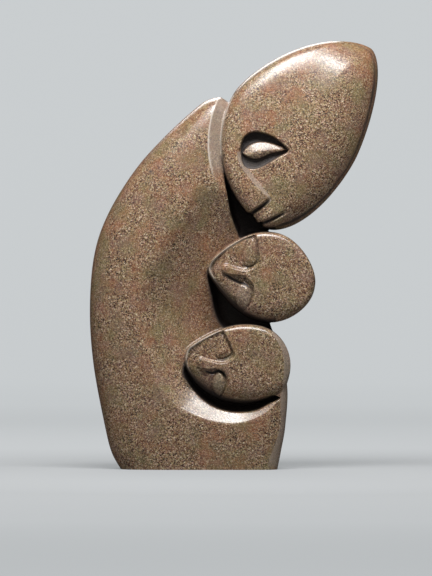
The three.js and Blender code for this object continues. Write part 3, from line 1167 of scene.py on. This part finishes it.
BODY = HoodedBody(
    sections=(
        (-73.5, 0, 73.5, 0, 39, 3.4, 7),
        (-82, 15.5, 77, 17.5, 40, 3.4, 7),
        (-88.5, 41, 81, 41, 41, 3.4, 7),
        (-99, 97.5, 82.7, 78.5, 42, 3.2, 7),
        (-102.5, 149, 73.5, 116, 42, 3, 6),
        (-98.5, 200, 62, 158.5, 41, 2.9, 4),
        (-85.5, 239, 66, 217, 40, 2.8, 3),
        (-60, 280.5, 56.5, 252.5, 38, 2.7, 2.7),
        (-31, 313, 49, 290, 34, 2.6, 2.6),
        (0, 341, 36.5, 325.5, 27, 2.5, 2.5),
        (12, 347.5, 30, 341.5, 18, 2.4, 2.4),
        (20.5, 349, 20.5, 349, 4, 2.4, 2.4),
    ),
    scoop=Scoop(
        line=(
            (-52.5, 139.5), (-49, 175.5), (-34, 205.5), (-9.5, 246), (7.5, 265.5), (48, 262),
            (87.5, 205.5), (100.5, 125.5), (82.5, 72), (43, 47.5), (1, 52), (-34, 78.5),
        ),
        centre=(29, 128), floor=-10, rim=-39,
        soft=6, crisp=1.2,
    ),
    collar=Collar(PARENT, width=10.8, drop=5),
    pockets=(CHIN_POCKET, UPPER_POCKET, LOWER_POCKET),
    sunk=3,
)


class Wire:
    """A shader value that Python sums can be done with."""

    def __init__(self, shader: "Shader", socket: bpy.types.NodeSocket) -> None:
        """Keeps the shader and the socket that the value comes out of."""
        self.shader, self.socket = shader, socket

    def math(self, operation: str, other: "Wire | float") -> "Wire":
        """Adds a Math node of this value and another."""
        return self.shader.node("ShaderNodeMath", {"operation": operation}, {0: self, 1: other})

    def __add__(self, other: "Wire | float") -> "Wire":
        """self + other."""
        return self.math("ADD", other)

    def __sub__(self, other: "Wire | float") -> "Wire":
        """self - other."""
        return self.math("SUBTRACT", other)

    def __mul__(self, other: "Wire | float") -> "Wire":
        """self * other."""
        return self.math("MULTIPLY", other)


class Shader:
    """One material's node tree."""

    def __init__(self, name: str) -> None:
        """Starts an empty material."""
        self.material = bpy.data.materials.new(name)
        self.material.use_nodes = True
        self.tree = self.material.node_tree
        self.tree.nodes.clear()

    def node(
        self,
        kind: str,
        settings: dict[str, Any] | None = None,
        inputs: dict[str | int, Any] | None = None,
        output: str | int = 0,
    ) -> Wire:
        """Adds a node.

        Args:
            kind: The node's type.
            settings: Its settings; "stops" are a ramp's (place, colour) pairs.
            inputs: Values or wires by a socket's name, identifier or number.
            output: The name or number of the output that is wanted.

        Returns:
            That output.
        """
        made = self.tree.nodes.new(kind)
        for name, value in (settings or {}).items():
            if name == "stops":
                self.set_stops(made.color_ramp, value)
            else:
                setattr(made, name, value)
        for key, value in (inputs or {}).items():
            socket = self.find(made.inputs, key)
            if isinstance(value, Wire):
                self.tree.links.new(value.socket, socket)
            else:
                socket.default_value = value
        return Wire(self, self.find(made.outputs, output))

    @staticmethod
    def find(sockets: Any, key: str | int) -> bpy.types.NodeSocket:
        """Finds a socket by its number, identifier or name."""
        if isinstance(key, int):
            return sockets[key]
        return next(socket for socket in sockets if key in (socket.identifier, socket.name))

    @staticmethod
    def set_stops(ramp: bpy.types.ColorRamp, stops: tuple[tuple[float, Colour], ...]) -> None:
        """Gives a ramp its stops."""
        while len(ramp.elements) > 1:
            ramp.elements.remove(ramp.elements[-1])
        for index, (place, colour) in enumerate(stops):
            element = ramp.elements[0] if index == 0 else ramp.elements.new(place)
            element.position = place
            element.color = (*colour, 1)

    def mix(self, amount: Wire, under: Wire, tint: Colour) -> Wire:
        """Lays an amount of a tint over a colour."""
        inputs = {"Factor_Float": amount, "A_Color": under, "B_Color": (*tint, 1)}
        return self.node("ShaderNodeMix", {"data_type": "RGBA"}, inputs, "Result_Color")

    def noise(self, where: Wire, scale: float, detail: float = 2, rough: float = 0.5) -> Wire:
        """Noise with `scale` lumps to a metre and `detail` finer layers, `rough` as strong."""
        inputs = {"Vector": where, "Scale": scale, "Detail": detail, "Roughness": rough}
        return self.node("ShaderNodeTexNoise", {}, inputs, "Fac")

    def range(self, value: Wire, source: Span, target: Span = (0, 1)) -> Wire:
        """Stretches a range of values over another, and clips what lies outside."""
        names = ("From Min", "From Max", "To Min", "To Max")
        inputs = {"Value": value, **dict(zip(names, (*source, *target)))}
        return self.node("ShaderNodeMapRange", {"clamp": True}, inputs, "Result")

    def bump(self, height: Wire, strength: float, depth: float, **normal: Wire) -> Wire:
        """Raises a surface by a height, `depth` metres at the most."""
        inputs = {"Strength": strength, "Distance": depth, "Height": height, **normal}
        return self.node("ShaderNodeBump", {}, inputs)

    def surface(self, **inputs: Any) -> bpy.types.Material:
        """Ends the material in one surface shader.

        Args:
            inputs: That shader's values and wires, with _ for a space.

        Returns:
            The material.
        """
        named = {name.replace("_", " "): value for name, value in inputs.items()}
        shader = self.node("ShaderNodeBsdfPrincipled", {}, named)
        made = self.tree.nodes.new("ShaderNodeOutputMaterial")
        self.tree.links.new(shader.socket, made.inputs["Surface"])
        return self.material


@dataclass(frozen=True)
class Cloud:
    """A tint that lies over the stone in clouds or specks.

    `scale` is how many of them go in a metre and `shift` moves them, in metres. The tint
    rises from none to `strength` between the two heights of the noise.
    """

    colour: Colour
    scale: float
    heights: Span
    strength: float
    detail: float = 3
    rough: float = 0.5
    shift: tuple[float, float, float] = (0, 0, 0)

    def noise(self, shader: Shader, where: Wire) -> Wire:
        """The noise that it follows."""
        sides = {0: where, 1: self.shift}
        moved = shader.node("ShaderNodeVectorMath", {"operation": "ADD"}, sides)
        return shader.noise(moved, self.scale, self.detail, self.rough)


@dataclass(frozen=True)
class Mark:
    """A tint that follows an attribute of the mesh, from none at 0 to `strength` at 1."""

    attribute: str
    colour: Colour
    strength: float

    def value(self, shader: Shader) -> Wire:
        """The attribute's value."""
        return shader.node("ShaderNodeAttribute", {"attribute_name": self.attribute}, output="Fac")


@dataclass(frozen=True)
class PolishedStone:
    """Brown stone with a high polish and fine grains of olive, ochre, pink and black.

    In places the stone is smooth and grey, which also paints in a sheen and reflections of
    the pale surroundings; its edges carry a painted highlight; and painted shade darkens
    the recesses, along with a few dark scratch marks. The rust lies in patches, from
    `patch_least` to 1, and comes in with the depth too, between the two places in
    `inward`. The pits are the finest bumps, of `fine_part`, `grain_part` and `speck_part`,
    and the marks of the hand are broad ones. `pits` and `hand` are their strength and
    depth in metres.
    """

    name: str = "polished_stone"
    grain_scale: float = 1050
    grain_colours: tuple[tuple[float, Colour], ...] = (
        (0.0, (0.009, 0.006, 0.005)),
        (0.12, (0.026, 0.01, 0.01)),
        (0.3, (0.087, 0.047, 0.028)),
        (0.5, (0.129, 0.078, 0.046)),
        (0.68, (0.181, 0.105, 0.058)),
        (0.82, (0.21, 0.169, 0.088)),
        (0.93, (0.285, 0.18, 0.141)),
        (1.0, (0.37, 0.311, 0.219)),
    )
    rust: Cloud = Cloud((0.17, 0.068, 0.034), 60, (0.45, 0.66), 0.58)
    moss: Cloud = Cloud((0.105, 0.092, 0.04), 48, (0.48, 0.68), 0.5, shift=(0.4, 2.2, 1.3))
    mauve: Cloud = Cloud((0.13, 0.072, 0.06), 70, (0.5, 0.7), 0.4, 2, shift=(5.2, 0.3, 2.8))
    specks: Cloud = Cloud((0.014, 0.01, 0.008), 950, (0.55, 0.66), 0.9, 2, 0.6)
    glints: Cloud = Cloud((0.28, 0.24, 0.16), 950, (0.58, 0.72), 0.8, 2, 0.6, (3.1, 1.7, 0.9))
    # Next three: a smooth grey finish mixed with painted sheen, painted highlights on edges, and
    # painted shade in the recesses with a few real dark scratch marks.
    honed: Mark = Mark("honed", (0.16, 0.128, 0.106), 0.62)
    edge_highlight: Mark = Mark("polished_edge", (0.36, 0.32, 0.28), 0.6)
    shade_and_scratches: Mark = Mark("waxed_recess", (0.013, 0.01, 0.01), 0.92)
    inward: Span = (-0.027, -0.012)
    inward_strength: float = 0.4
    patch_scale: float = 17
    patch_heights: Span = (0.38, 0.62)
    patch_least: float = 0.25
    roughness: Span = (0.21, 0.34)
    rough_heights: Span = (0.35, 0.7)
    # Extra roughness where the recess shade is painted.
    recess_roughness: float = 0.4
    refraction: float = 1.46
    fine_scale: float = 1600
    fine_rough: float = 0.6
    fine_part: float = 0.5
    grain_part: float = 0.4
    speck_part: float = 0.4
    pits: tuple[float, float] = (0.1, 0.0003)
    hand_scale: float = 55
    hand: tuple[float, float] = (0.25, 0.0012)

    def material(self) -> bpy.types.Material:
        """Makes the material."""
        shader = Shader(self.name)
        where = shader.node("ShaderNodeTexCoord", output="Object")
        cells = {"Vector": where, "Scale": self.grain_scale, "Randomness": 1}
        grains = shader.node("ShaderNodeTexVoronoi", {"feature": "F1"}, cells, "Color")
        pick, lift = (
            shader.node("ShaderNodeSeparateColor", {}, {"Color": grains}, channel)
            for channel in ("Red", "Green")
        )
        colour = shader.node("ShaderNodeValToRGB", {"stops": self.grain_colours}, {"Fac": pick})
        depth = shader.node("ShaderNodeSeparateXYZ", {}, {"Vector": where}, "Y")
        inner = shader.range(depth, self.inward, (0, self.inward_strength))
        colour = shader.mix(inner, colour, self.rust.colour)
        broad = shader.noise(where, self.patch_scale)
        patches = shader.range(broad, self.patch_heights, (self.patch_least, 1))
        for cloud in (self.rust, self.moss, self.mauve, self.specks, self.glints):
            noise = cloud.noise(shader, where)
            amount = shader.range(noise, cloud.heights, (0, cloud.strength))
            amount = amount * patches if cloud is self.rust else amount
            colour = shader.mix(amount, colour, cloud.colour)
        # Lays on the grey finish with its painted sheen, the painted edge highlights and the painted
        # recess shade.
        for mark in (self.honed, self.edge_highlight, self.shade_and_scratches):
            colour = shader.mix(mark.value(shader) * mark.strength, colour, mark.colour)
        specks = self.specks.noise(shader, where)
        fine = shader.noise(where, self.fine_scale, rough=self.fine_rough)
        height = fine * self.fine_part + lift * self.grain_part - specks * self.speck_part
        pitted = shader.bump(height, *self.pits)
        rubbed = shader.range(specks, self.rough_heights, self.roughness)
        return shader.surface(
            Base_Color=colour,
            Roughness=rubbed + self.shade_and_scratches.value(shader) * self.recess_roughness,
            IOR=self.refraction,
            Normal=shader.bump(shader.noise(where, self.hand_scale), *self.hand, Normal=pitted),
        )


@dataclass(frozen=True)
class StudioPaper:
    """Plain pale paper for the studio, that glows evenly where the lamps don't reach.

    `glow` is how bright it is by itself at each distance from `centre`, in metres.
    """

    colour: Colour = (0.12, 0.122, 0.124)
    tint: Colour = (0.94, 0.98, 1.0)
    centre: tuple[float, float, float] = (0.05, -0.25, 0)
    glow: Line = ((0, 0.3), (0.4, 0.29), (0.9, 0.42), (1.7, 0.49), (3, 0.55), (6, 0.58))

    def material(self) -> bpy.types.Material:
        """Makes the material."""
        shader = Shader("studio_paper")
        where = shader.node("ShaderNodeTexCoord", output="Object")
        measure = {"operation": "DISTANCE"}
        away = shader.node("ShaderNodeVectorMath", measure, {0: where, 1: self.centre}, "Value")
        far = self.glow[-1][0]
        stops = tuple(
            (place / far, tuple(glow * part for part in self.tint)) for place, glow in self.glow
        )
        light = shader.node("ShaderNodeValToRGB", {"stops": stops}, {"Fac": away * (1 / far)})
        return shader.surface(
            Base_Color=(*self.colour, 1),
            Roughness=1,
            Specular_IOR_Level=0,
            Emission_Color=light,
            Emission_Strength=1,
        )


@dataclass(frozen=True)
class Lamp:
    """A soft square lamp, by its place and aim in metres, its size and its power."""

    name: str
    place: tuple[float, float, float]
    size: float
    power: float
    aim: tuple[float, float, float] = (0.03, 0, 0.2)

    def build(self) -> bpy.types.Object:
        """Hangs the lamp."""
        deselect()
        bpy.ops.object.light_add(type="AREA", location=self.place)
        lamp = bpy.context.object
        lamp.name = self.name
        lamp.data.size = self.size
        lamp.data.energy = self.power
        way = Vector(self.aim) - Vector(self.place)
        lamp.rotation_euler = way.to_track_quat("-Z", "Y").to_euler()
        return lamp


@dataclass(frozen=True)
class Studio:
    """A seamless sweep, the lamps and the camera, in metres."""

    lamps: tuple[Lamp, ...]
    fill: float
    fill_colour: Colour = (0.95, 0.98, 1.0)
    view_middle: tuple[float, float] = (0.016, 0.1697)
    view_height: float = 0.5414
    view_distance: float = 5.0
    view_end: float = 50
    sensor: float = 36
    room: float = 6.5
    wall_height: float = 5
    corner: float = 2
    corner_steps: int = 24
    sides: int = 96
    level: float = 0.5

    def build(self) -> None:
        """Sets up the sweep, the lamps, the fill and the camera."""
        self.sweep()
        for lamp in self.lamps:
            lamp.build()
        world = bpy.data.worlds.new("soft_fill")
        world.use_nodes = True
        sky = world.node_tree.nodes["Background"]
        sky.inputs["Color"].default_value = (*self.fill_colour, 1)
        sky.inputs["Strength"].default_value = self.fill
        bpy.context.scene.world = world
        bpy.context.scene.view_settings.view_transform = "Standard"
        self.camera()

    def pick_faces(self, piece: bpy.types.Object, way: int) -> None:
        """Opens a piece for editing, with its faces selected that look up (1) or down (-1)."""
        bpy.ops.object.mode_set(mode="EDIT")
        bpy.ops.mesh.select_mode(type="FACE")
        bpy.ops.mesh.select_all(action="DESELECT")
        bpy.ops.object.mode_set(mode="OBJECT")
        for face in piece.data.polygons:
            face.select = way * face.normal.z > self.level
        bpy.ops.object.mode_set(mode="EDIT")

    def sweep(self) -> None:
        """Makes a round floor that curves up into a wall all round, behind the camera too."""
        deselect()
        bpy.ops.mesh.primitive_cylinder_add(
            vertices=self.sides,
            radius=self.room,
            depth=self.wall_height,
            location=(0, 0, self.wall_height / 2),
        )
        sweep = bpy.context.object
        sweep.name = "studio_sweep"
        bpy.ops.object.transform_apply(location=True, rotation=True, scale=True)
        self.pick_faces(sweep, 1)
        bpy.ops.mesh.delete(type="FACE")
        self.pick_faces(sweep, -1)
        bpy.ops.mesh.bevel(offset=self.corner, segments=self.corner_steps, affect="EDGES")
        bpy.ops.mesh.select_all(action="SELECT")
        bpy.ops.mesh.normals_make_consistent(inside=True)
        bpy.ops.object.mode_set(mode="OBJECT")
        bpy.ops.object.shade_smooth()
        sweep.visible_glossy = False
        sweep.data.materials.append(StudioPaper().material())

    def camera(self) -> None:
        """Places the camera, level, so that the picture is `view_height` tall."""
        deselect()
        across, up = self.view_middle
        bpy.ops.object.camera_add(
            location=(across, -self.view_distance, up), rotation=(math.pi / 2, 0, 0)
        )
        camera = bpy.context.object
        camera.name = "photo_camera"
        camera.data.sensor_width = self.sensor
        camera.data.lens = self.sensor * self.view_distance / self.view_height
        camera.data.clip_end = self.view_end
        bpy.context.scene.camera = camera


STUDIO = Studio(
    lamps=(
        Lamp("overhead_softbox", (0.04, -0.50, 1.07), 0.5, 19.6),
        Lamp("left_softbox", (-0.24, -0.55, 1.11), 0.6, 7.6),
        Lamp("right_glint", (0.42, -0.61, 1.03), 0.12, 3.9),
        Lamp("back_softbox", (-0.14, 0.95, 1.07), 0.7, 9),
    ),
    fill=0.02,
)


def main() -> None:
    """Builds the sculpture and its studio."""
    logging.basicConfig(level=logging.INFO, format="%(name)s: %(message)s")
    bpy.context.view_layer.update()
    sculpture = Carving(
        body=BODY,
        heads=(
            CarvedHead(PARENT, PARENT_FACE, Face((PARENT_SOCKET,), (PARENT_LID,))),
            CarvedHead(UPPER_CHILD, UPPER_CHILD_FACE, fade=(5, 25), follows_edge=False),
            CarvedHead(LOWER_CHILD, LOWER_CHILD_FACE, fade=(5, 25), follows_edge=False),
        ),
        chamfer=RIGHT_CHAMFER,
        finish_and_painted_light=FinishAndPaintedLight(
            collar=BODY.collar,
            nose=PARENT_NOSE,
            socket=PARENT_SOCKET,
            eyelid=PARENT_LID,
            small_lids=(UPPER_CHILD_FACE.lids[-1], LOWER_CHILD_FACE.lids[-1]),
            slits=(*PARENT_FACE.grooves, *SMALL_SLITS, SHOULDER_SCRATCH, CHEEK_PIT),
            heads=(PARENT, UPPER_CHILD, LOWER_CHILD),
            chamfer=RIGHT_CHAMFER,
            pockets=BODY.pockets,
        ),
        stone=PolishedStone(),
    ).build()
    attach(sculpture, "root")
    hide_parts(NODE)
    log.info("carved_stone: %d faces", len(sculpture.data.polygons))
    STUDIO.build()


if __name__ == "__main__":
    main()
